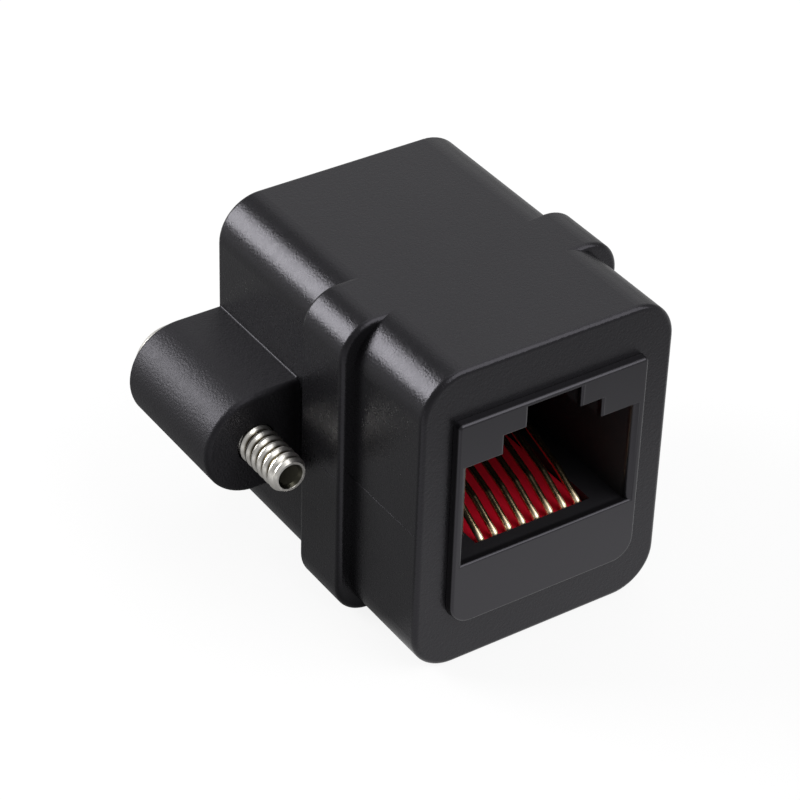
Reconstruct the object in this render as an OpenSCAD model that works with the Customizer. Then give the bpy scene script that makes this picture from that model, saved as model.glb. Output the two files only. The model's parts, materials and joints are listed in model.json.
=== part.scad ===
// Panel-mount coupler with an 8-position modular socket at each end.
// X runs across the part, the front socket faces -Y, and Z is up.
// The origin is on the housing's underside, midway between its front and rear faces.

/* [Housing] */
// Width of the housing
housing_w = 17.9; // [16.5:0.1:24]
// Height of the housing
housing_h = 21.5; // [19:0.1:28]
// Depth of the housing, from its front face to its rear face
housing_d = 22.65; // [21:0.05:32]
// Radius of the housing's long edges
housing_r = 2.9; // [1:0.1:3.2]
// Radius of the small moulded rounding on outer edges
edge_r = 0.35; // [0.15:0.05:0.5]

/* [Collar] */
// How far the collar stands out of the housing's sides; it is as tall as the housing
collar_step = 0.95; // [0.2:0.05:1.5]
// Depth of the collar
collar_d = 4.45; // [2:0.05:6]
// Distance from the housing's front face to the collar
collar_back = 6.95; // [4:0.05:8]
// Radius of the collar's long edges
collar_r = 2.4; // [1:0.1:3]

/* [Lugs] */
// Distance from the housing's side to a screw's axis
lug_reach = 3.05; // [2.8:0.05:7]
// Height of each lug, which is also the width of its half-round end
lug_h = 7; // [6:0.1:9]
// How far the lugs' middle lies below the housing's middle
lug_drop = 0.2; // [0:0.05:2]
// Distance from the housing's front face to the lugs' seat
lug_back = 12.95; // [12:0.05:16]
// Distance from the lugs' rear face to the housing's rear face
lug_inset = 0.1; // [0.05:0.05:1]
// Radius of the fillet where a lug's flat sides meet the housing
lug_fillet = 0.15; // [0.1:0.05:0.5]
// Clearance between a screw and its hole, on the radius
screw_clearance = 0.08; // [0.05:0.01:0.25]

/* [Screws] */
// Outer diameter of the thread
screw_d = 2.5; // [2:0.1:3]
// Height of the thread above the plain shank
thread_h = 0.2; // [0.05:0.01:0.3]
// Length of plain shank that stands out of the lug's seat before the thread starts
thread_gap = 0.1; // [0.05:0.05:1]
// Length of the screw that stands out of the lug's seat
screw_reach = 3.95; // [3:0.05:8]
// Length of the chamfer at the screw's end
point_l = 0.4; // [0.2:0.05:0.8]
// How far the chamfer cuts into the thread's radius
point_drop = 0.25; // [0.1:0.05:0.4]
// Width of the rim round the shallow cup in the screw's end
cup_rim = 0.26; // [0.1:0.02:0.5]
// Depth of the cup
cup_depth = 0.3; // [0.1:0.05:0.6]
// Diameter of the pan head
head_d = 5; // [4:0.1:6]
// Height of the pan head
head_h = 1.5; // [1:0.1:2.5]
// Radius of the rounding on the pan head
head_round = 0.8; // [0.3:0.1:0.9]
// Width of the driver slot
slot_w = 0.6; // [0.4:0.05:1]
// Depth of the driver slot
slot_depth = 0.6; // [0.3:0.05:0.8]

/* [Socket inserts] */
// Width of the insert
insert_w = 13.5; // [13:0.1:14.4]
// Height of the insert
insert_h = 14.8; // [14.6:0.1:16]
// Height of the insert's face above the housing's face
insert_proud = 0.6; // [0.2:0.05:1.5]
// Radius of the insert's two lower corners
insert_r = 1.5; // [0.5:0.1:2]
// Radius of the insert's two upper corners
insert_top_r = 0.3; // [0.1:0.05:0.35]
// Gap between an insert and what it touches in the housing
insert_clearance = 0.03; // [0.01:0.01:0.1]
// Thickness of the insert's front wall, which the plug's latch hooks behind
front_wall = 1.4; // [1:0.05:2]
// Thickness of the wall behind each socket
back_wall = 0.95; // [0.6:0.05:2]

/* [Socket opening] */
// Width of the opening inside the mouth
port_w = 11.9; // [11.7:0.05:12.2]
// Height of the opening below the keyway
port_h = 7.15; // [6.8:0.05:7.3]
// Height of the opening's floor above the insert's lower face
port_floor = 4.5; // [4.2:0.05:4.6]
// How far each side of the mouth flares out
mouth_flare = 0.17; // [0.05:0.01:0.25]
// Depth of the flare
flare_depth = 0.8; // [0.3:0.05:1.2]
// Width of the keyway's wide step
key_w = 7; // [6:0.05:8]
// Height of the keyway's wide step
key_h = 1.34; // [1:0.02:1.4]
// Width of the keyway's narrow step
latch_w = 3.8; // [3:0.05:4.5]
// Height of the keyway's narrow step
latch_h = 1.5; // [1:0.02:1.55]
// Depth of the latch space, from the insert's face
latch_depth = 8.6; // [5:0.1:9.5]

/* [Contacts] */
// Distance between neighbouring contacts
contact_pitch = 1.016; // [0.98:0.002:1.04]
// Diameter of the contact wire
wire_d = 0.46; // [0.36:0.02:0.54]
// Radius of the wire's bends, on its centre line
wire_bend_r = 0.5; // [0.4:0.02:0.6]
// Slope of the wire where it leaves the front bend, in degrees
rise_angle = 29; // [20:1:35]
// Slope of the wire near its free end, in degrees
tip_angle = 19; // [5:1:19]
// Length of the steeper stretch
rise_length = 2.3; // [1.5:0.1:2.8]
// Length of the stretch that ends at the free end
tip_length = 3.2; // [1:0.1:4]
// Distance from the front bend to the first row of tails
leg_length = 3.8; // [2.5:0.1:4.5]
// Distance between the two rows of tails
tail_row_gap = 2.54; // [1.5:0.02:3]
// Length of tail that stands out below the board
tail_out = 0.35; // [0.2:0.05:0.45]
// Clearance round the wire in the carrier and the board
wire_clearance = 0.04; // [0.02:0.01:0.06]

/* [Carriers and board] */
// Width of the contact carrier
carrier_w = 8.2; // [8.2:0.05:9]
// Depth of the carrier's top below the opening's floor
carrier_drop = 0.55; // [0.3:0.05:0.8]
// Gap on each side of the carrier and the board
carrier_gap = 0.1; // [0.02:0.01:0.2]
// Thickness of the wall below the board's space
bottom_wall = 0.55; // [0.4:0.05:0.7]
// Height of the ledges that carry the board
ledge_h = 0.5; // [0.5:0.05:0.6]
// Width of the ledges
ledge_w = 0.4; // [0.3:0.05:0.5]
// Thickness of the board
board_t = 0.8; // [0.6:0.05:0.9]

/* [Hidden] */
contact_count = 8;
$fn = 64;
cut = 1;

// Widths
collar_w = housing_w + 2 * collar_step;
screw_pitch = housing_w + 2 * lug_reach;

// Places along the depth
front_y = -housing_d / 2;
face_y = front_y - insert_proud;
collar_y = front_y + collar_back;
seat_y = front_y + lug_back;
lug_d = housing_d - lug_back - lug_inset;
insert_d = -face_y - insert_clearance;
socket_d = insert_d - back_wall;
nose_y = face_y + front_wall + carrier_gap;
wire_y = nose_y + wire_d / 2;
tail_y = wire_y + leg_length;

// Heights
mid_z = housing_h / 2;
lug_z = mid_z - lug_drop;
insert_z = mid_z - insert_h / 2;
floor_z = insert_z + port_floor;
ceiling_z = floor_z + port_h;
space_z = insert_z + bottom_wall;
board_z = space_z + ledge_h;
carrier_z = board_z + board_t;
carrier_top = floor_z - carrier_drop;
leg_z = carrier_z + wire_bend_r + wire_clearance;

// Wire slots
wire_slot = wire_d + 2 * wire_clearance;
space_w = carrier_w + 2 * carrier_gap;
screw_hole_r = screw_d / 2 + screw_clearance;

// Place of a contact across the part, and of its tail along the depth: the tails alternate
// between two rows
function contact_x(i) = (i - (contact_count + 1) / 2) * contact_pitch;
function contact_tail_y(i) = tail_y + (i % 2) * tail_row_gap;

// Half of a block's section along its length, with a rounded corner at each end
module end_rounded_half(half, length, e) {
  square([half - e, length]);
  translate([0, e]) square([half, length - 2 * e]);
  for (y = [e, length - e]) translate([half - e, y]) circle(e);
}

module end_rounded(width, length, e) {
  end_rounded_half(width / 2, length, e);
  mirror([1, 0]) end_rounded_half(width / 2, length, e);
}

// Block along +Y with corners of radius r in its outline and a small radius e on its end edges
module moulded_block(w, h, d, r, e) {
  translate([0, d, 0]) rotate([90, 0, 0]) {
    for (sx = [-1, 1], sy = h > 2 * r ? [-1, 1] : [0])
      translate([sx * (w / 2 - r), sy * (h / 2 - r), 0]) rotate_extrude() end_rounded_half(r, d, e);
    if (h > 2 * r)
      rotate([90, 0, 0]) linear_extrude(h - 2 * r, center = true) end_rounded(w, d, e);
    rotate([90, 0, 90]) linear_extrude(w - 2 * r, center = true) end_rounded(h, d, e);
  }
}

// Prism along +Y of an outline drawn in X and Z
module along_y(y, d) {
  translate([0, y + d, 0]) rotate([90, 0, 0]) linear_extrude(d) children();
}

// Outline of an insert, grown by a clearance on every side
module insert_outline(grow) {
  w = insert_w + 2 * grow;
  z0 = insert_z - grow;
  z1 = insert_z + insert_h + grow;
  low_r = insert_r + grow;
  top_r = insert_top_r + grow;
  translate([-w / 2, z0 + low_r]) square([w, z1 - top_r - z0 - low_r]);
  translate([-w / 2 + low_r, z0]) square([w - 2 * low_r, low_r]);
  translate([-w / 2 + top_r, z1 - top_r]) square([w - 2 * top_r, top_r]);
  for (s = [-1, 1]) {
    translate([s * (w / 2 - low_r), z0 + low_r]) circle(low_r);
    translate([s * (w / 2 - top_r), z1 - top_r]) circle(top_r);
  }
}

// Fillets along the lugs' roots, above and below each lug
module lug_fillets() {
  along_y(seat_y + edge_r, lug_d - 2 * edge_r)
    for (mx = [0, 1], mz = [0, 1])
      translate([0, lug_z]) mirror([mx, 0]) mirror([0, mz]) translate([housing_w / 2, lug_h / 2])
        difference() {
          translate([-edge_r, -edge_r]) square(lug_fillet + edge_r);
          translate([lug_fillet, lug_fillet]) circle(lug_fillet);
        }
}

module housing() {
  color([0.06, 0.06, 0.065]) difference() {
    union() {
      translate([0, front_y, mid_z]) moulded_block(housing_w, housing_h, housing_d, housing_r, edge_r);
      translate([0, collar_y, mid_z]) moulded_block(collar_w, housing_h, collar_d, collar_r, edge_r);
      translate([0, seat_y, lug_z]) moulded_block(screw_pitch + lug_h, lug_h, lug_d, lug_h / 2, edge_r);
      lug_fillets();
    }
    along_y(front_y - cut, housing_d + 2 * cut) insert_outline(insert_clearance);
    for (s = [-1, 1])
      translate([s * screw_pitch / 2, seat_y - cut, lug_z]) rotate([-90, 0, 0])
        cylinder(r = screw_hole_r, h = lug_d + 2 * cut);
  }
}

// Plug opening with its flared mouth, seen from above
module port_plan() {
  mouth = port_w / 2 + mouth_flare;
  side = port_w / 2;
  polygon([[-mouth, -cut], [mouth, -cut], [mouth, 0], [side, flare_depth], [side, socket_d],
           [-side, socket_d], [-side, flare_depth], [-mouth, 0]]);
}

module port() {
  translate([0, face_y, floor_z]) linear_extrude(port_h) port_plan();
  along_y(face_y - cut, latch_depth + cut)
    translate([-key_w / 2, ceiling_z - cut]) square([key_w, key_h + cut]);
  along_y(face_y - cut, front_wall + 2 * cut)
    translate([-latch_w / 2, ceiling_z]) square([latch_w, key_h + latch_h]);
  along_y(face_y + front_wall, latch_depth - front_wall)
    translate([-key_w / 2, ceiling_z]) square([key_w, key_h + latch_h]);
}

// Space below the socket for the carrier and the board, with a ledge on each side. The carrier
// and the board run on below the back wall to the middle of the part.
module carrier_space() {
  inner_w = space_w - 2 * ledge_w;
  along_y(face_y + front_wall, socket_d - front_wall)
    translate([-space_w / 2, board_z]) square([space_w, floor_z - board_z + cut]);
  along_y(face_y + front_wall, insert_d) {
    translate([-space_w / 2, board_z]) square([space_w, carrier_top + carrier_gap - board_z]);
    translate([-inner_w / 2, space_z]) square([inner_w, ledge_h + cut]);
  }
}

module jack() {
  color([0.075, 0.075, 0.08]) difference() {
    along_y(face_y, insert_d) insert_outline(0);
    port();
    carrier_space();
  }
}

// Slot in the carrier for a wire, from its nose back to a depth and from its underside up to a height
module carrier_slot(i, depth, top) {
  translate([contact_x(i) - wire_slot / 2, nose_y - cut, carrier_z - cut])
    cube([wire_slot, depth + cut, top - carrier_z + cut]);
}

// Comb that spaces the wires: each has a slot for its riser, room for its lower bend and a slot
// for its leg
module contact_carrier() {
  carrier_d = -nose_y - carrier_gap;
  color([0.62, 0.02, 0.03]) difference() {
    translate([-carrier_w / 2, nose_y, carrier_z]) cube([carrier_w, carrier_d, carrier_top - carrier_z]);
    for (i = [1:contact_count]) {
      carrier_slot(i, wire_d + wire_clearance, carrier_top + cut);
      carrier_slot(i, wire_d / 2 + wire_bend_r, leg_z + wire_bend_r);
      carrier_slot(i, contact_tail_y(i) - nose_y + wire_slot / 2, leg_z + wire_slot / 2);
    }
  }
}

module link_board() {
  board_l = 2 * (-face_y - front_wall - carrier_gap);
  color([0.05, 0.3, 0.14]) difference() {
    translate([-carrier_w / 2, -board_l / 2, board_z]) cube([carrier_w, board_l, board_t]);
    for (turn = [0, 180], i = [1:contact_count])
      rotate([0, 0, turn]) translate([contact_x(i), contact_tail_y(i), board_z - cut])
        cylinder(d = wire_slot, h = board_t + 2 * cut);
  }
}

// Round wire from a bending table: each step is a straight length and the turn after it.
// The wire starts along +Z, and a positive turn bends it towards +Y.
module bent_wire(steps, i = 0) {
  length = steps[i][0];
  turn = steps[i][1];
  side = sign(turn);
  cylinder(d = wire_d, h = length);
  if (turn != 0) translate([0, side * wire_bend_r, length]) {
    rotate([0, 0, side > 0 ? 0 : 180]) rotate([90, 0, -90])
      rotate_extrude(angle = abs(turn)) translate([wire_bend_r, 0]) circle(d = wire_d);
    rotate([-turn, 0, 0]) translate([0, -side * wire_bend_r, 0]) bent_wire(steps, i + 1);
  }
}

// Tail up through the board, leg forward under the carrier, riser up its nose, and the spring
// that slopes back into the socket
module contact(i) {
  tail = leg_z - wire_bend_r - board_z + tail_out;
  leg = contact_tail_y(i) - wire_y - 2 * wire_bend_r;
  riser = carrier_top - leg_z - wire_bend_r;
  color([0.83, 0.65, 0.3]) translate([contact_x(i), contact_tail_y(i), board_z - tail_out])
    bent_wire([
      [tail, -90],
      [leg, 90],
      [riser, 90 - rise_angle],
      [rise_length, rise_angle - tip_angle],
      [tip_length, 0]
    ]);
}

// Slotted pan-head screw pointing along -Y, with its seat under the head at y = 0. The shank is
// plain inside the lug and a little way in front of it.
module screw() {
  thread_start = lug_d + thread_gap;
  tip = lug_d + screw_reach;
  thread_r = screw_d / 2;
  shank_r = thread_r - thread_h;
  end_r = thread_r - point_drop;
  color([0.75, 0.73, 0.68]) difference() {
    rotate([90, 0, 0]) rotate_extrude() {
      translate([0, -head_h]) square([head_d / 2 - head_round, head_h]);
      translate([0, -head_h + head_round]) square([head_d / 2, head_h - head_round]);
      translate([head_d / 2 - head_round, -head_h + head_round]) intersection() {
        circle(head_round);
        translate([0, -head_round]) square(head_round);
      }
      polygon([[0, 0], [shank_r, 0], [shank_r, thread_start], [thread_r, thread_start],
               [thread_r, tip - point_l], [end_r, tip], [end_r - cup_rim, tip], [0, tip - cup_depth]]);
    }
    translate([-head_d / 2 - cut, head_h - slot_depth, -slot_w / 2])
      cube([head_d + 2 * cut, slot_depth + cut, slot_w]);
  }
}

module screw_at(side) {
  translate([side * screw_pitch / 2, seat_y + lug_d, lug_z]) screw();
}

// The rear half of the coupler is the front half turned round
module at_rear() {
  rotate([0, 0, 180]) children();
}

housing();
jack();  // front_jack
at_rear() jack();  // rear_jack
contact_carrier();  // front_contact_carrier
at_rear() contact_carrier();  // rear_contact_carrier
link_board();
for (i = [1:contact_count]) {
  contact(i);
  at_rear() contact(i);
}
screw_at(-1);  // left_screw
screw_at(1);  // right_screw
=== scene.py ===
"""Looks of the panel-mount coupler: a finish for every piece, threaded screws and softened mouldings.

Lengths are in metres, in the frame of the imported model: X across, Y from front to rear, Z up.
"""
import json
import math

import bpy
from mathutils import Matrix, Vector


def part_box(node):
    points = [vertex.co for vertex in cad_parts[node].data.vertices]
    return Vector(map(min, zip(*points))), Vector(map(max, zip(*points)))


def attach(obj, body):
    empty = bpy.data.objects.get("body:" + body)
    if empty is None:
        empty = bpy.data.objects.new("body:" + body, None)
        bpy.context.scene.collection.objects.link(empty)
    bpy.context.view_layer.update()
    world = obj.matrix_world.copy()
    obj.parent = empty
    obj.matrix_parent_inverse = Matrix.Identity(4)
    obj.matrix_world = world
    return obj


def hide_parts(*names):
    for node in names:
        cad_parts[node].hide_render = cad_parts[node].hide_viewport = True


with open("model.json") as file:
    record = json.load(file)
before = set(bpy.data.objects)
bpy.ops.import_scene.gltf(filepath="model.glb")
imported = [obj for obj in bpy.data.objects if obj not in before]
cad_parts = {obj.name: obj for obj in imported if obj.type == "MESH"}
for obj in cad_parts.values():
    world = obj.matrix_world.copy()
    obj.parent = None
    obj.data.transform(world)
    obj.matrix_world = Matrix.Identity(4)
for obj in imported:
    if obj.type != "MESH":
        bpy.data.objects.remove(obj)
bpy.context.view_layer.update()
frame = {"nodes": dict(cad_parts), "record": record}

MM = 0.001

# Camera, as the photograph was taken
CAMERA_AZIMUTH = -34.526
CAMERA_ELEVATION = 35.618
CAMERA_ROLL = 1.903
CAMERA_DISTANCE = 182.7 * MM
CAMERA_TARGET = Vector((-2.641, 0.13, 11.178)) * MM
CAMERA_LENS = 134.2
CAMERA_NEAR = 10.0 * MM
SENSOR = 36.0

# Screw, where the solid leaves the form to this script; the thread's ROOT and CREST are shares of a pitch
THREAD_PITCH = 0.64 * MM
THREAD_DEPTH = 0.22 * MM
THREAD_STEPS = 36
ROOT_END = 0.14
CREST_START = 0.5
CREST_END = 0.64
CREST_SOFT = 0.08
CREST_ROUND = 0.03 * MM
SHANK_DROP = 0.2 * MM
START_DROP = 0.12 * MM
SHANK_LAP = 0.1 * MM
THREAD_START = -1.0 * MM
POINT_LENGTH = 0.4 * MM
POINT_DROP = 0.25 * MM
CUP_RIM = 0.14 * MM
CUP_SLOPE = 0.2 * MM
CUP_DEPTH = 0.22 * MM
CUP_FLOOR = 0.28 * MM
HEAD_HEIGHT = 1.5 * MM
HEAD_ROUND = 0.8 * MM
HEAD_STEPS = 96
ARC_STEPS = 8
EDGE_STEPS = 4
SLOT_WIDTH = 0.6 * MM
SLOT_DEPTH = 0.6 * MM
SCREW_EDGE = 0.04 * MM

# Edges that moulding leaves slightly round
INSERT_RIM_EDGE = 0.2 * MM
PORT_HALF = 5.95 * MM
MOUTH_FLARE = 0.17 * MM
MOUTH_STEPS = 6
SIDE_ROLL = 0.5 * MM
SIDE_REACH = 0.5 * MM
KEYWAY_ROLL = 0.22 * MM
LEVEL_ROLL = 0.16 * MM
LATCH_ROLL = 0.05 * MM
EDGE_REACH = 0.2 * MM
SILL = 7.85 * MM
LATCH_TOP = 17.84 * MM
MOUTH_HALF = 6.2 * MM
MOUTH_LOW = 7.5 * MM
MOUTH_HIGH = 18.0 * MM
CARRIER_EDGE = 0.05 * MM

# Flash line of the mould on the housing's sides
HOUSING_HALF = 8.95 * MM
COLLAR_HALF = 9.9 * MM
COLLAR_FRONT = -4.375 * MM
COLLAR_REAR = 0.075 * MM
LUG_SEAT = 1.625 * MM
PARTING_HEIGHT = 10.55 * MM
BEAD_PROUD = 0.02 * MM
BEAD_WIDTH = 0.08 * MM
BEAD_INSET = 0.4 * MM
BEAD_EDGE = 0.019 * MM

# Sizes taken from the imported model
STUD = next(mount for mount in frame["record"]["mounts"] if mount["name"] == "left_stud")
SCREW_AXIS = Vector(STUD["pos_m"])
SCREW_LOW, SCREW_HIGH = (Vector(corner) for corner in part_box("left_screw"))
THREAD_RADIUS = STUD["dims"]["r_mm"] * MM
TIP = SCREW_AXIS.y - SCREW_LOW.y
HEAD_TOP = SCREW_AXIS.y - SCREW_HIGH.y
UNDER_HEAD = HEAD_TOP + HEAD_HEIGHT
HEAD_RADIUS = (SCREW_HIGH.x - SCREW_LOW.x) / 2.0
HOUSING_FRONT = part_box("housing")[0][1]
INSERT_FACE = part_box("front_jack")[0][1]
WIRE_FRONT = -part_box("front_contact_1")[0][1]

# Black plastic: its colour from dark to light, and the slightly violet light that it reflects
BLACK_DARK = (0.006, 0.0058, 0.0066, 1.0)
BLACK_LIGHT = (0.009, 0.0088, 0.0099, 1.0)
BLACK_TINT = (0.92, 0.89, 1.0, 1.0)
BLACK_CLOUD = 5.0 * MM

# Threads of the glass cloth in the board
WEAVE_PITCH = 0.5 * MM

# Floor: its colour to the camera and in bounced light, and the share of plain white that the camera sees
FLOOR_SIZE = 6.0
FLOOR_WHITE = 0.9
FLOOR_BOUNCE = 0.15
CAMERA_SHARE = 0.88

# Lines along the floor, and the painted glow that the part mirrors from it at distances in millimetres
# along them
FRONT_LINE = (0.25, -0.97)
FRONT_STOPS = ((3.0, 0.13), (9.0, 0.88), (20.0, 0.95), (32.0, 0.65), (40.0, 0.4))
REAR_LINE = (0.85, 0.5)
REAR_STOPS = ((6.0, 0.0), (16.0, 0.5), (36.0, 0.6), (60.0, 0.35))
LEFT_LINE = (-1.0, 0.0)
LEFT_STOPS = ((35.0, 0.0), (60.0, 0.45), (120.0, 0.5))

# Sky and lamps, each lamp with its direction from the part, distance, size and power
SKY_MIRROR_SHARE = 0.1
SKY_LEVEL = 0.25
LAMPS = {
    "key_softbox": ((-0.59, 0.67, 0.45), 0.35, 0.2, 1.35),
    "rear_panel": ((0.62, 0.62, 0.52), 0.6, 0.5, 0.33),
    "top_softbox": ((0.3, 0.15, 1.0), 0.5, 0.4, 0.5),
    "front_softbox": ((0.42, -0.7, 0.76), 0.6, 0.56, 2.8),
}

MERGE_DISTANCE = 1e-7
SHARP_ANGLE = math.radians(30)
FLAT_ANGLE = math.radians(0.5)


class Signal:
    """A shader socket that takes part in Python arithmetic: each operation adds a Math node."""

    def __init__(self, finish, socket):
        self.finish = finish
        self.socket = socket

    def math(self, operation, *values):
        """Adds a Math node that works on this signal and the values, in their order."""
        sockets = dict(enumerate(values))
        return self.finish.node("ShaderNodeMath", {"operation": operation}, sockets)

    def __add__(self, other):
        return self.math("ADD", self, other)

    __radd__ = __add__

    def __sub__(self, other):
        return self.math("SUBTRACT", self, other)

    def __rsub__(self, other):
        return self.math("SUBTRACT", other, self)

    def __mul__(self, other):
        return self.math("MULTIPLY", self, other)

    __rmul__ = __mul__

    def __truediv__(self, other):
        return self.math("DIVIDE", self, other)

    def __rtruediv__(self, other):
        return self.math("DIVIDE", other, self)

    def __pow__(self, other):
        return self.math("POWER", self, other)

    def __abs__(self):
        return self.math("ABSOLUTE", self)

    def at_least(self, other):
        """The larger of this signal and the other."""
        return self.math("MAXIMUM", self, other)

    def sine(self):
        """The sine of this signal, in radians."""
        return self.math("SINE", self)


class Finish:
    """A material or world node tree, with one method that adds any node."""

    def __init__(self, owner):
        owner.use_nodes = True
        self.owner = owner
        self.tree = owner.node_tree

    def node(self, kind, settings=None, sockets=None, output=0):
        """Adds a node, gives it its settings, fills its sockets and returns one of its outputs."""
        made = self.tree.nodes.new(kind)
        for name, value in (settings or {}).items():
            if name == "stops":
                self.set_stops(made.color_ramp, value)
            else:
                setattr(made, name, value)
        for key, value in (sockets or {}).items():
            self.feed(made.inputs[key], value)
        return Signal(self, made.outputs[output])

    def set_stops(self, ramp, stops):
        """Gives a colour ramp its stops, each a place and a grey level or a colour."""
        while len(ramp.elements) < len(stops):
            ramp.elements.new(0.5)
        for element, (place, colour) in zip(ramp.elements, stops):
            element.position = place
            element.color = colour if isinstance(colour, tuple) else (colour, colour, colour, 1.0)

    def feed(self, socket, value):
        """Links a signal to a socket, or sets the socket's own value."""
        if isinstance(value, Signal):
            self.tree.links.new(value.socket, socket)
        else:
            socket.default_value = value

    def place(self):
        """The point on the piece, in the frame of the model."""
        return self.node("ShaderNodeTexCoord", output="Object")

    def axes(self):
        """The X, Y and Z of the point on the piece."""
        split = self.node("ShaderNodeSeparateXYZ", sockets={0: self.place()}).socket.node
        return [Signal(self, output) for output in split.outputs]

    def noise(self, cell, detail=2.0, roughness=0.5, stretch=(1.0, 1.0, 1.0)):
        """Cloudy variation from 0 to 1 whose patches are about one cell wide."""
        scale = tuple(part / cell for part in stretch)
        spread = self.node("ShaderNodeMapping", sockets={"Vector": self.place(), "Scale": scale})
        levels = {"Vector": spread, "Scale": 1.0, "Detail": detail, "Roughness": roughness}
        return self.node("ShaderNodeTexNoise", sockets=levels, output="Fac")

    def ramp(self, signal, *stops):
        """Passes a signal through a colour ramp."""
        return self.node("ShaderNodeValToRGB", {"stops": stops}, {"Fac": signal})

    def blend(self, share, first, second):
        """Mixes two colours: share 0 gives the first, 1 the second."""
        settings = {"data_type": "RGBA"}
        return self.node("ShaderNodeMix", settings, {0: share, 6: first, 7: second}, output=2)

    def bump(self, height, depth):
        """A normal that follows a height from 0 to 1, which stands for that depth in metres."""
        return self.node("ShaderNodeBump", sockets={"Height": height, "Distance": depth, "Strength": 1.0})

    def seen(self, camera_share, mirror_share):
        """Shares for the rays that show the background: to the camera, and mirrored or through glass."""
        path = self.node("ShaderNodeLightPath").socket.node
        camera, glossy, through = (
            Signal(self, path.outputs[name])
            for name in ("Is Camera Ray", "Is Glossy Ray", "Is Transmission Ray")
        )
        mirrored = glossy.at_least(through) * mirror_share
        return (camera * camera_share).at_least(mirrored)

    def floor_share(self, line, stops):
        """A level that follows the distance along a line on the floor, from stops in millimetres."""
        x, y = self.axes()[:2]
        start, end = stops[0][0], stops[-1][0]
        along = ((x * line[0] + y * line[1]) / MM - start) / (end - start)
        return self.ramp(along, *(((place - start) / (end - start), share) for place, share in stops))


class Surface(Finish):
    """A material with one main shader: fixed values go straight to its sockets."""

    def __init__(self, name, **fixed):
        super().__init__(bpy.data.materials.new(name))
        self.shader = self.tree.nodes["Principled BSDF"]
        for key, value in fixed.items():
            self.vary(key, value)

    def vary(self, key, value):
        """Sets or links one socket of the main shader, named with underscores for spaces."""
        self.feed(self.shader.inputs[key.replace("_", " ")], value)


def rgb(red, green, blue):
    """A linear colour with full alpha."""
    return (red, green, blue, 1.0)


def moulded_black():
    """Matte black housing plastic with the fine grain of a spark-eroded mould."""
    finish = Surface("moulded_black", IOR=1.4, Specular_Tint=BLACK_TINT)
    grain = finish.noise(0.15 * MM, detail=1.0, roughness=0.6)
    swell = finish.noise(0.5 * MM, detail=2.0)
    cloud = finish.noise(BLACK_CLOUD, detail=3.0)
    finish.vary("Base_Color", finish.blend(cloud, BLACK_DARK, BLACK_LIGHT))
    x, y = finish.axes()[:2]
    outside = finish.ramp((abs(x) - HOUSING_HALF) / MM, (0.02, 0.0), (0.06, 1.0))
    corner = finish.ramp((abs(x) - HOUSING_HALF) / MM, (0.14, 1.0), (0.18, 0.0))
    lug = outside * finish.ramp((y - COLLAR_REAR) / (LUG_SEAT - COLLAR_REAR), (0.5, 0.0), (0.6, 1.0))
    finish.vary("Roughness", 0.2 + swell * 0.1 + grain * 0.06 + lug * (corner * 0.3 + 0.19))
    finish.vary("Normal", finish.bump((grain * 0.85 + swell * 0.15) * (1.0 + lug), 0.016 * MM))
    return finish.owner


def flash_black():
    """The same black where the mould halves meet, too thin a line to show the grain."""
    finish = Surface("flash_black", IOR=1.4, Specular_Tint=BLACK_TINT)
    cloud = finish.noise(BLACK_CLOUD, detail=3.0)
    finish.vary("Base_Color", finish.blend(cloud, BLACK_DARK, BLACK_LIGHT))
    finish.vary("Roughness", 0.4 + cloud * 0.1)
    return finish.owner


def satin_black():
    """Smoother black plastic of the socket inserts."""
    finish = Surface("satin_black", IOR=1.5, Specular_Tint=BLACK_TINT)
    grain = finish.noise(0.09 * MM, detail=1.0)
    flow = finish.noise(2.2 * MM, detail=3.0, stretch=(1.0, 1.0, 0.4))
    finish.vary("Base_Color", finish.blend(flow, rgb(0.0050, 0.0048, 0.0055), rgb(0.0075, 0.0072, 0.0082)))
    y = finish.axes()[1]
    inside = finish.ramp((-INSERT_FACE - abs(y)) / MM, (0.4, 0.0), (0.6, 1.0))
    finish.vary("Roughness", 0.24 + flow * 0.08 + grain * 0.04 + inside * 0.3)
    finish.vary("Normal", finish.bump(grain, 0.003 * MM))
    return finish.owner


def carrier_red():
    """Glossy red plastic of the contact carriers."""
    finish = Surface("carrier_red", IOR=1.5)
    flow = finish.noise(1.6 * MM, detail=3.0, stretch=(1.0, 0.35, 1.0))
    grain = finish.noise(0.12 * MM, detail=1.0)
    finish.vary("Base_Color", finish.blend(flow, rgb(0.66, 0.006, 0.026), rgb(0.82, 0.014, 0.04)))
    finish.vary("Roughness", 0.3 + flow * 0.12)
    finish.vary("Normal", finish.bump(grain, 0.002 * MM))
    return finish.owner


def contact_gold():
    """Thin gold plate over a drawn wire, browner where it is thin, with a painted pale highlight at the
    front bend.
    """
    finish = Surface("contact_gold", Metallic=1.0)
    thin = finish.noise(0.8 * MM, detail=3.0)
    y = finish.axes()[1]
    bend_painted_highlight = finish.ramp((WIRE_FRONT - abs(y)) / MM, (0.45, 1.0), (0.9, 0.0))
    plate = finish.blend(thin, rgb(0.55, 0.41, 0.22), rgb(0.80, 0.64, 0.40))
    # Painted highlight: the base colour turns pale cream toward the front bend, where the front lamp's
    # reflection falls
    finish.vary("Base_Color", finish.blend(bend_painted_highlight, plate, rgb(1.0, 0.86, 0.6)))
    finish.vary("Roughness", 0.13 + thin * 0.1 + bend_painted_highlight * 0.2)
    return finish.owner


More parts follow.
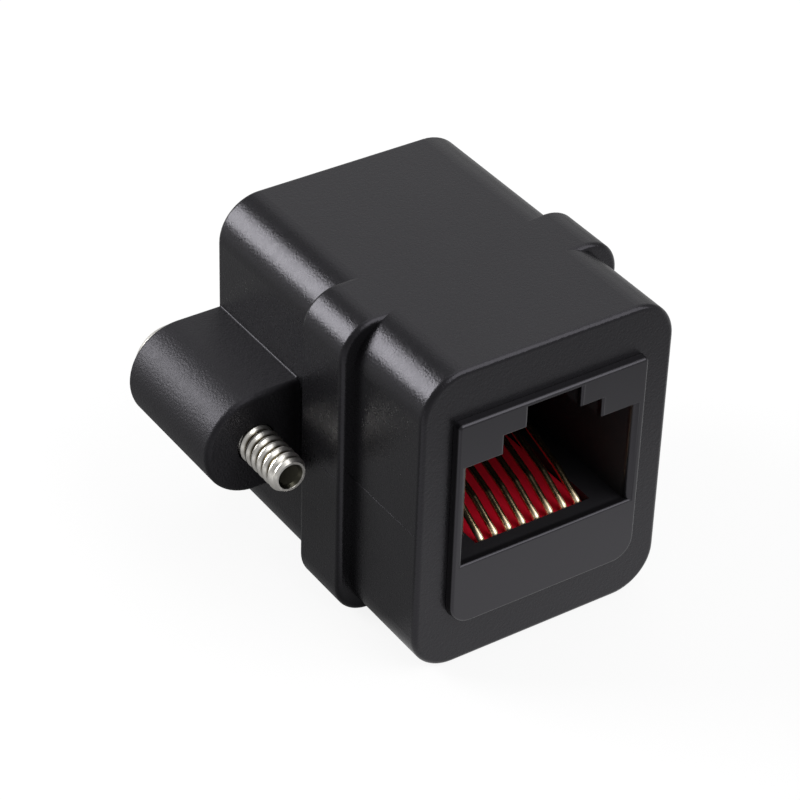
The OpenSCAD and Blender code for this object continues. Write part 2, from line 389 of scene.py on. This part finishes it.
def nickel_plate():
    """Bright nickel plate, with painted shade in the thread roots and a dark olive colour in the cupped
    end.
    """
    finish = Surface("nickel_plate", Metallic=1.0)
    x, y, z = finish.axes()
    across = abs(x) - abs(SCREW_AXIS.x)
    up = z - SCREW_AXIS.z
    radius = (across * across + up * up) ** 0.5
    depth = (THREAD_RADIUS - radius) / THREAD_DEPTH
    along = (SCREW_AXIS.y - y) / TIP
    on_thread = finish.ramp(along, (0.0, 0.0), (0.02, 1.0), (0.86, 1.0), (0.9, 0.0))
    root = finish.ramp(depth, (0.5, 0.0), (0.9, 1.0)) * on_thread
    inside = finish.ramp(radius / THREAD_RADIUS, (0.66, 1.0), (0.7, 0.0))
    cup = inside * finish.ramp(along, (0.85, 0.0), (0.87, 1.0))
    patch = finish.noise(0.45 * MM, detail=3.0)
    scuff = finish.noise(0.09 * MM, detail=2.0)
    plate = finish.blend(patch, rgb(0.86, 0.83, 0.77), rgb(0.97, 0.95, 0.91))
    # Painted shade: the plate darkens to olive brown deep in the thread roots
    plate_with_painted_root_shade = finish.blend(root, plate, rgb(0.09, 0.075, 0.045))
    finish.vary("Base_Color", finish.blend(cup, plate_with_painted_root_shade, rgb(0.06, 0.057, 0.043)))
    finish.vary("Roughness", 0.26 + patch * 0.08 + scuff * 0.08)
    finish.vary("Normal", finish.bump(patch * 0.5 + scuff * 0.5, 0.012 * MM))
    return finish.owner


def board_green():
    """Green lacquer over the weave of a glass-fibre board."""
    finish = Surface("board_green", IOR=1.5)
    x, y = finish.axes()[:2]
    thread = 2.0 * math.pi / WEAVE_PITCH
    weave = (x * thread).sine() * (y * thread).sine()
    shade = finish.noise(1.5 * MM, detail=2.0)
    finish.vary("Base_Color", finish.blend(shade, rgb(0.02, 0.16, 0.06), rgb(0.035, 0.24, 0.10)))
    finish.vary("Roughness", 0.25 + shade * 0.1)
    finish.vary("Normal", finish.bump(weave * 0.5 + 0.5, 0.004 * MM))
    return finish.owner


def floor_white():
    """White floor that shows as the backdrop and keeps the part's shadow.

    Its glow in reflections is painted by place: dark close to the part's left side, bright in front, to the
    right and far left.
    """
    finish = Surface("floor_white", Roughness=0.9, Specular_IOR_Level=0.0)
    bounce = rgb(FLOOR_BOUNCE, FLOOR_BOUNCE, FLOOR_BOUNCE)
    white = rgb(FLOOR_WHITE, FLOOR_WHITE, FLOOR_WHITE)
    finish.vary("Base_Color", finish.blend(finish.seen(1.0, 0.0), bounce, white))
    glow = finish.node("ShaderNodeEmission", sockets={"Color": rgb(1.0, 1.0, 1.0), "Strength": 1.0})
    lit = Signal(finish, finish.shader.outputs[0])
    # Painted reflection: the floor's glow to mirrored rays follows these lines, not the lamps
    mirrored = finish.floor_share(FRONT_LINE, FRONT_STOPS)
    mirrored = mirrored.at_least(finish.floor_share(REAR_LINE, REAR_STOPS))
    mirrored = mirrored.at_least(finish.floor_share(LEFT_LINE, LEFT_STOPS))
    shares = {0: finish.seen(CAMERA_SHARE, mirrored), 1: lit, 2: glow}
    mixed = finish.node("ShaderNodeMixShader", sockets=shares)
    finish.feed(finish.tree.nodes["Material Output"].inputs["Surface"], mixed)
    return finish.owner


def light_world():
    """Plain white sky: full white where it is seen, a soft fill everywhere else."""
    world = bpy.data.worlds.new("studio_sky")
    bpy.context.scene.world = world
    finish = Finish(world)
    sky = finish.tree.nodes["Background"]
    sky.inputs["Color"].default_value = rgb(1.0, 1.0, 1.0)
    seen = finish.seen(1.0, SKY_MIRROR_SHARE)
    finish.feed(sky.inputs["Strength"], SKY_LEVEL + seen * (1.0 - SKY_LEVEL))


def only(piece):
    """Makes a piece the one selected and active object."""
    bpy.ops.object.select_all(action="DESELECT")
    piece.select_set(True)
    bpy.context.view_layer.objects.active = piece


def edit(piece):
    """Opens a piece in edit mode with all of its mesh selected."""
    only(piece)
    bpy.ops.object.mode_set(mode="EDIT")
    bpy.ops.mesh.select_all(action="SELECT")


def leave_edit():
    """Goes back to object mode."""
    bpy.ops.object.mode_set(mode="OBJECT")


def apply_modifier(piece, kind, **settings):
    """Adds a modifier with its settings and applies it."""
    modifier = piece.modifiers.new(kind.lower(), kind)
    for name, value in settings.items():
        setattr(modifier, name, value)
    only(piece)
    bpy.ops.object.modifier_apply(modifier=modifier.name)


def combine(piece, tool, operation):
    """Joins, cuts or trims a piece with a tool, which is then deleted."""
    apply_modifier(piece, "BOOLEAN", operation=operation, solver="MANIFOLD", object=tool)
    bpy.data.objects.remove(tool)


def draw_chain(name, points):
    """Draws an open chain of edges through (radius, height) points, and leaves it in edit mode."""
    bpy.ops.object.select_all(action="DESELECT")
    bpy.ops.mesh.primitive_plane_add(size=MM)
    piece = bpy.context.object
    piece.name = name
    edit(piece)
    bpy.ops.mesh.merge(type="CENTER")
    radius, height = points[0]
    bpy.ops.transform.translate(value=(radius, 0.0, height))
    for next_radius, next_height in points[1:]:
        step = (next_radius - radius, 0.0, next_height - height)
        bpy.ops.mesh.extrude_vertices_move(TRANSFORM_OT_translate={"value": step})
        radius, height = next_radius, next_height
    bpy.ops.mesh.select_all(action="SELECT")
    return piece


def close_shell():
    """Merges doubled points and turns every face outwards, in edit mode, then leaves it."""
    bpy.ops.mesh.select_all(action="SELECT")
    bpy.ops.mesh.remove_doubles(threshold=MERGE_DISTANCE)
    bpy.ops.mesh.normals_make_consistent(inside=False)
    leave_edit()


def turn_profile(name, points):
    """Turns a (radius, height) profile that starts and ends on the axis into a closed solid."""
    piece = draw_chain(name, points)
    bpy.ops.mesh.spin(steps=HEAD_STEPS, angle=2.0 * math.pi, center=(0.0, 0.0, 0.0), axis=(0.0, 0.0, 1.0))
    close_shell()
    return piece


def arc(centre, radius, start, end):
    """Points along an arc in the (radius, height) plane, angles in degrees."""
    angles = [math.radians(start + (end - start) * step / ARC_STEPS) for step in range(ARC_STEPS + 1)]
    return [(centre[0] + radius * math.cos(a), centre[1] + radius * math.sin(a)) for a in angles]


def cut_thread(name, low, high):
    """Winds a right-hand thread between two heights, closed at both ends."""
    radius = THREAD_RADIUS
    root = radius - THREAD_DEPTH
    start = high + THREAD_PITCH
    shoulder = radius - CREST_ROUND
    profile = [(0.0, root), (ROOT_END, root), (CREST_START - CREST_SOFT, shoulder), (CREST_START, radius)]
    profile += [(CREST_END, radius), (CREST_END + CREST_SOFT, shoulder), (1.0, root)]
    piece = draw_chain(name, [(across, start + share * THREAD_PITCH) for share, across in profile])
    turns = math.ceil((start - low) / THREAD_PITCH) + 2
    bpy.ops.mesh.screw(steps=THREAD_STEPS, turns=turns, center=(0.0, 0.0, 0.0), axis=(0.0, 0.0, 1.0))
    bpy.ops.mesh.select_all(action="SELECT")
    bpy.ops.mesh.remove_doubles(threshold=MERGE_DISTANCE)
    # The operator winds to the left, so the coil is mirrored
    bpy.ops.transform.resize(value=(1.0, -1.0, 1.0), center_override=(0.0, 0.0, 0.0))
    for height, up in ((low, -1.0), (high, 1.0)):
        bpy.ops.mesh.select_all(action="SELECT")
        bpy.ops.mesh.bisect(
            plane_co=(0.0, 0.0, height), plane_no=(0.0, 0.0, up), threshold=MERGE_DISTANCE,
            use_fill=True, clear_outer=True,
        )
    close_shell()
    return piece


def make_head():
    """The slotted pan head and the plain shank, which runs a little way into the thread."""
    corner = (HEAD_RADIUS - HEAD_ROUND, HEAD_TOP + HEAD_ROUND)
    shank = THREAD_RADIUS - SHANK_DROP
    profile = [(0.0, HEAD_TOP), *arc(corner, HEAD_ROUND, -90.0, 0.0), (HEAD_RADIUS, UNDER_HEAD)]
    profile += [(shank, UNDER_HEAD), (shank, THREAD_START + SHANK_LAP), (0.0, THREAD_START + SHANK_LAP)]
    head = turn_profile("screw_head", profile)
    bpy.ops.mesh.primitive_cube_add(size=1.0, location=(0.0, 0.0, HEAD_TOP))
    slot = bpy.context.object
    slot.scale = (4.0 * HEAD_RADIUS, SLOT_WIDTH, 2.0 * SLOT_DEPTH)
    combine(head, slot, "DIFFERENCE")
    apply_modifier(
        head, "BEVEL", width=SCREW_EDGE, segments=2, limit_method="ANGLE", angle_limit=SHARP_ANGLE,
    )
    return head


def make_screw():
    """A slotted pan-head screw with a rolled thread, along +Z, that leaves the lug near height 0."""
    screw = cut_thread("screw", THREAD_START, TIP + THREAD_PITCH)
    start = THREAD_RADIUS - START_DROP
    end = THREAD_RADIUS - POINT_DROP
    blank = [(0.0, HEAD_TOP), (start, HEAD_TOP), (start, THREAD_START)]
    blank += [(HEAD_RADIUS, THREAD_START + HEAD_RADIUS - start), (HEAD_RADIUS, TIP - POINT_LENGTH)]
    blank += [(THREAD_RADIUS, TIP - POINT_LENGTH), (end, TIP), (end - CUP_RIM, TIP)]
    blank += [(end - CUP_RIM - CUP_SLOPE, TIP - CUP_DEPTH), (0.0, TIP - CUP_FLOOR)]
    combine(screw, turn_profile("point", blank), "INTERSECT")
    combine(screw, make_head(), "UNION")
    bpy.ops.object.shade_smooth_by_angle(angle=SHARP_ANGLE)
    return screw


def settle(piece, matrix):
    """Moves a piece to its place and puts that place into its mesh."""
    piece.matrix_world = matrix
    only(piece)
    bpy.ops.object.transform_apply(location=True, rotation=True, scale=True)


def twin(piece, name, matrix):
    """Copies a finished piece, with a mesh of its own, to another place."""
    copy = bpy.data.objects.new(name, piece.data.copy())
    bpy.context.collection.objects.link(copy)
    settle(copy, matrix)
    return copy


def select_parts(piece, kind, chosen):
    """Selects the points, edges or faces that pass a test, and leaves the piece open in edit mode."""
    edit(piece)
    bpy.ops.mesh.select_mode(type=kind)
    bpy.ops.mesh.select_all(action="DESELECT")
    leave_edit()
    mesh = piece.data
    for part in {"VERT": mesh.vertices, "EDGE": mesh.edges, "FACE": mesh.polygons}[kind]:
        part.select = chosen(part)
    bpy.ops.object.mode_set(mode="EDIT")


def in_mouth(point):
    """True for a point inside the outline of the socket's mouth, or on it."""
    return abs(point.x) < MOUTH_HALF and MOUTH_LOW < point.z < MOUTH_HIGH


def on_rim(point):
    """True for a point of the insert's outer outline on its front face."""
    return point.y < INSERT_FACE + MERGE_DISTANCE and not in_mouth(point)


def round_rim(piece):
    """Rounds the outer edge of the insert's front face."""
    points = [vertex.co for vertex in piece.data.vertices]
    select_parts(piece, "EDGE", lambda edge: all(on_rim(points[i]) for i in edge.vertices))
    bpy.ops.mesh.bevel(
        offset=INSERT_RIM_EDGE, segments=EDGE_STEPS, affect="EDGES", clamp_overlap=True, loop_slide=False,
    )
    bpy.ops.mesh.select_mode(type="VERT")
    leave_edit()


def copy_node(node, name):
    """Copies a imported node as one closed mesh."""
    piece = bpy.data.objects.new(name, frame["nodes"][node].data.copy())
    bpy.context.collection.objects.link(piece)
    edit(piece)
    bpy.ops.mesh.customdata_custom_splitnormals_clear()
    bpy.ops.mesh.remove_doubles(threshold=MERGE_DISTANCE)
    leave_edit()
    return piece


def join_flat_faces(piece):
    """Joins the triangles that lie in one plane, apart from a seam along the middle of the piece."""
    edit(piece)
    bpy.ops.mesh.bisect(plane_co=(0.0, 0.0, 0.0), plane_no=(1.0, 0.0, 0.0), threshold=MERGE_DISTANCE)
    bpy.ops.mesh.mark_seam()
    bpy.ops.mesh.select_all(action="SELECT")
    bpy.ops.mesh.dissolve_limited(angle_limit=FLAT_ANGLE, delimit={"SEAM"})
    leave_edit()


def straighten_mouth(piece):
    """Takes the straight flare out of the mouth's sides, to make room for a round one."""
    inwards = PORT_HALF / (PORT_HALF + MOUTH_FLARE)
    flared = PORT_HALF + MERGE_DISTANCE
    select_parts(piece, "VERT", lambda vertex: abs(vertex.co.x) > flared and in_mouth(vertex.co))
    bpy.ops.transform.resize(value=(inwards, 1.0, 1.0), center_override=(0.0, 0.0, 0.0))
    leave_edit()


def ring_mouth_walls(piece, place):
    """Cuts a ring of edges round the mouth's walls, at one place along Y."""
    points = [vertex.co for vertex in piece.data.vertices]

    def is_mouth_wall(face):
        return abs(face.normal.y) < 0.5 and all(in_mouth(points[i]) for i in face.vertices)

    select_parts(piece, "FACE", is_mouth_wall)
    bpy.ops.mesh.bisect(plane_co=(0.0, place, 0.0), plane_no=(0.0, 1.0, 0.0), threshold=MERGE_DISTANCE)
    bpy.ops.mesh.select_mode(type="VERT")
    leave_edit()


def spread(depth, reach):
    """Share of an edge's roll at a depth behind the face: all of it at the face, none from its reach on."""
    rise = min(1.0, max(0.0, 1.0 - depth / reach))
    return 1.0 - math.sqrt(1.0 - rise * rise)


def roll_of(point):
    """How far a point on the mouth's walls moves outwards: most at the sides of the plug opening."""
    depth = point.y - INSERT_FACE
    edge_share = spread(depth, EDGE_REACH)
    if abs(point.x) > PORT_HALF - MERGE_DISTANCE:
        across = SIDE_ROLL * spread(depth, SIDE_REACH)
    elif abs(point.x) > MERGE_DISTANCE:
        across = KEYWAY_ROLL * edge_share
    else:
        across = 0.0
    if point.z < SILL + MERGE_DISTANCE:
        up = -LEVEL_ROLL * edge_share
    elif point.z > LATCH_TOP - MERGE_DISTANCE:
        up = LATCH_ROLL * edge_share
    else:
        up = LEVEL_ROLL * edge_share
    return Vector((math.copysign(across, point.x), 0.0, up))


def roll_mouth(piece):
    """Rolls the front of the mouth's walls outwards in quarters of ellipses, into the front face."""
    turns = [math.pi / 2.0 * step / MOUTH_STEPS for step in range(MOUTH_STEPS)]
    depths = [reach * (1.0 - math.sin(turn)) for reach in (SIDE_REACH, EDGE_REACH) for turn in turns]
    for depth in depths:
        ring_mouth_walls(piece, INSERT_FACE + depth)
    for vertex in piece.data.vertices:
        if vertex.co.y < INSERT_FACE + SIDE_REACH and in_mouth(vertex.co):
            vertex.co += roll_of(vertex.co)


def smooth(piece):
    """Shades a piece smoothly, apart from its sharp edges, with its flat faces kept flat."""
    only(piece)
    bpy.ops.object.shade_smooth_by_angle(angle=SHARP_ANGLE)
    apply_modifier(piece, "WEIGHTED_NORMAL", keep_sharp=True)


def make_insert():
    """The front socket insert, with a soft rim and a round lead-in to its mouth."""
    insert = copy_node("front_jack", "front_socket_insert")
    straighten_mouth(insert)
    join_flat_faces(insert)
    round_rim(insert)
    roll_mouth(insert)
    smooth(insert)
    return insert


def make_comb():
    """The front contact carrier, with the slight round that moulding leaves on its edges."""
    comb = copy_node("front_contact_carrier", "front_contact_comb")
    join_flat_faces(comb)
    apply_modifier(
        comb, "BEVEL", width=CARRIER_EDGE, segments=3, limit_method="ANGLE", angle_limit=SHARP_ANGLE,
        miter_outer="MITER_ARC", use_clamp_overlap=True,
    )
    smooth(comb)
    return comb


def make_bead(side, start, end):
    """One stretch of the flash line on a side wall, half sunk in it, with its edges rounded."""
    middle = (side, (start + end) / 2.0, PARTING_HEIGHT)
    bpy.ops.mesh.primitive_cube_add(size=1.0, location=middle)
    bead = bpy.context.object
    bead.scale = (2.0 * BEAD_PROUD, end - start, BEAD_WIDTH)
    bpy.ops.object.transform_apply(location=True, rotation=True, scale=True)
    apply_modifier(bead, "BEVEL", width=BEAD_EDGE, segments=3)
    return bead


def make_parting_line():
    """The thin flash line that the two mould halves leave at mid-height along the housing's sides."""
    beads = []
    for side in (-1.0, 1.0):
        beads.append(make_bead(side * HOUSING_HALF, HOUSING_FRONT + BEAD_INSET, COLLAR_FRONT))
        beads.append(make_bead(side * COLLAR_HALF, COLLAR_FRONT + BEAD_INSET, COLLAR_REAR - BEAD_INSET))
        beads.append(make_bead(side * HOUSING_HALF, COLLAR_REAR, LUG_SEAT))
    bpy.ops.object.select_all(action="DESELECT")
    for bead in beads:
        bead.select_set(True)
    bpy.context.view_layer.objects.active = beads[0]
    bpy.ops.object.join()
    line = bpy.context.object
    line.name = "housing_parting_line"
    bpy.ops.object.shade_smooth_by_angle(angle=SHARP_ANGLE)
    return line


def paint(piece, material):
    """Gives a piece one material all over."""
    if not piece.material_slots:
        piece.data.materials.append(material)
    for slot in piece.material_slots:
        slot.material = material


def dress(piece, material, slot, *nodes):
    """Finishes a new piece: its material, its body and the nodes that it stands for; the slot is not used.
    """
    paint(piece, material)
    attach(piece, "root")
    if nodes:
        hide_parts(*nodes)


def make_pieces():
    """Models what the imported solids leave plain, and gives every piece its finish."""
    black, satin, red = moulded_black(), satin_black(), carrier_red()
    gold, nickel, green = contact_gold(), nickel_plate(), board_green()

    half_turn = Matrix.Rotation(math.pi, 4, "Z")
    front_insert = make_insert()
    rear_insert = twin(front_insert, "rear_socket_insert", half_turn)
    front_comb = make_comb()
    rear_comb = twin(front_comb, "rear_contact_comb", half_turn)
    dress(front_insert, satin, "insert_plastic", "front_jack")
    dress(rear_insert, satin, "insert_plastic", "rear_jack")
    dress(front_comb, red, "carrier_plastic", "front_contact_carrier")
    dress(rear_comb, red, "carrier_plastic", "rear_contact_carrier")

    left = make_screw()
    left.name = "left_panel_screw"
    towards_front = Matrix.Rotation(math.pi / 2.0, 4, "X")
    settle(left, Matrix.Translation(SCREW_AXIS) @ towards_front)
    right = twin(left, "right_panel_screw", Matrix.Translation((-2.0 * SCREW_AXIS.x, 0.0, 0.0)))
    dress(left, nickel, "screw_nickel", "left_screw")
    dress(right, nickel, "screw_nickel", "right_screw")

    dress(make_parting_line(), flash_black(), "housing_plastic")
    paint(frame["nodes"]["housing"], black)
    paint(frame["nodes"]["link_board"], green)
    for name, node in frame["nodes"].items():
        if "_contact_" in name and not name.endswith("carrier"):
            paint(node, gold)


def lay_floor():
    """The plain floor that the part stands on."""
    bpy.ops.object.select_all(action="DESELECT")
    bpy.ops.mesh.primitive_plane_add(size=FLOOR_SIZE)
    floor = bpy.context.object
    floor.name = "floor"
    paint(floor, floor_white())


def add_softbox(name, direction, distance, size, power):
    """Hangs a square lamp in a direction from the part, turned to face it."""
    towards = Vector(direction).normalized()
    bpy.ops.object.light_add(type="AREA", location=CAMERA_TARGET + towards * distance)
    box = bpy.context.object
    box.name = name
    box.rotation_euler = towards.to_track_quat("Z", "Y").to_euler()
    box.data.size = size
    box.data.energy = power


def aim_camera():
    """Stands the camera where the photograph was taken from."""
    azimuth = math.radians(CAMERA_AZIMUTH)
    elevation = math.radians(CAMERA_ELEVATION)
    roll = math.radians(CAMERA_ROLL)
    right = Vector((math.cos(azimuth), math.sin(azimuth), 0.0))
    level = math.cos(elevation)
    back = Vector((math.sin(azimuth) * level, -math.cos(azimuth) * level, math.sin(elevation)))
    up = back.cross(right)
    tilted_right = right * math.cos(roll) + up * math.sin(roll)
    tilted_up = up * math.cos(roll) - right * math.sin(roll)
    turn = Matrix((tilted_right, tilted_up, back)).transposed().to_4x4()
    bpy.ops.object.camera_add()
    camera = bpy.context.object
    camera.matrix_world = Matrix.Translation(CAMERA_TARGET + back * CAMERA_DISTANCE) @ turn
    camera.data.sensor_width = SENSOR
    camera.data.lens = CAMERA_LENS
    camera.data.clip_start = CAMERA_NEAR
    bpy.context.scene.camera = camera


make_pieces()
lay_floor()
light_world()
for lamp, setting in LAMPS.items():
    add_softbox(lamp, *setting)
aim_camera()
bpy.context.scene.view_settings.view_transform = "Standard"
